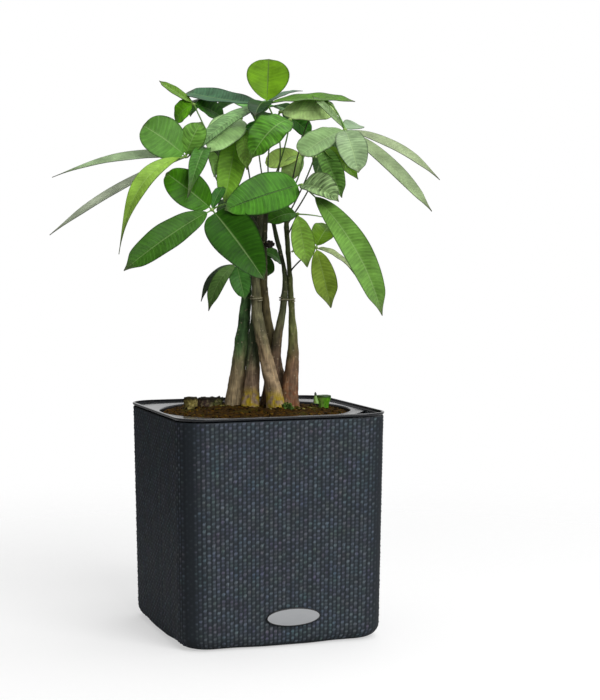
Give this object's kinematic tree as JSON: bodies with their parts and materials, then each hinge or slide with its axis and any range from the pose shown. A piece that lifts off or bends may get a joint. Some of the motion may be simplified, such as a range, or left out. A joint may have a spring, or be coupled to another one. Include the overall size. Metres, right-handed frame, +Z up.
{
  "type": "potted money tree",
  "caption": "Young money tree with palmate leaves on slim braided stems, rooted in soil in a square woven-look planter with a lift-out liner and watering hole.",
  "frame": {"origin": "centre of the planter's flat base", "axes": "+Z up; -Y towards the face that carries the oval badge, which is parallel to X"},
  "size_m": [0.2511, 0.2133, 0.3774],
  "materials": {
    "woven_plastic": "moulded woven relief, anthracite",
    "gloss_plastic": "gloss",
    "silver_plate": "satin",
    "soil": "matte potting compost of bark and peat",
    "bark": "matte ridged bark, greener above",
    "twine": "matte",
    "cut_wood": "matte",
    "green_shoot": "satin",
    "leaf": "satin",
    "bright_leaf": "satin",
    "pale_leaf": "satin"
  },
  "bodies": {
    "root": {"pot": "woven_plastic", "liner": "gloss_plastic", "badge": "silver_plate", "soil": "soil", "trunk_left": "bark", "trunk_middle": "bark", "trunk_front": "bark", "trunk_centre_right": "bark", "trunk_back_right": "bark", "trunk_right": "bark", "tie_right": "twine", "tie_middle": "twine", "stub_left": "cut_wood", "bark_piece": "bark", "stub_right": "green_shoot", "leaf_top": "bright_leaf", "leaf_left_front": "pale_leaf", "leaf_left_low": "leaf", "leaf_front": "leaf", "leaf_right_high": "pale_leaf", "leaf_right_upper": "bright_leaf", "leaf_front_high": "leaf", "leaf_centre_left": "bright_leaf", "leaf_left_inner": "leaf", "leaf_left_high": "bright_leaf", "leaf_back_small": "bright_leaf", "leaf_right_inner": "leaf", "leaf_middle_low": "leaf", "leaf_right_low": "bright_leaf", "leaf_lower_left": "leaf", "leaf_behind_low": "leaf", "leaf_back_left": "leaf", "leaf_back_right": "leaf", "leaf_back_top": "leaf", "leaf_back_low": "leaf"}
  },
  "joints": []
}
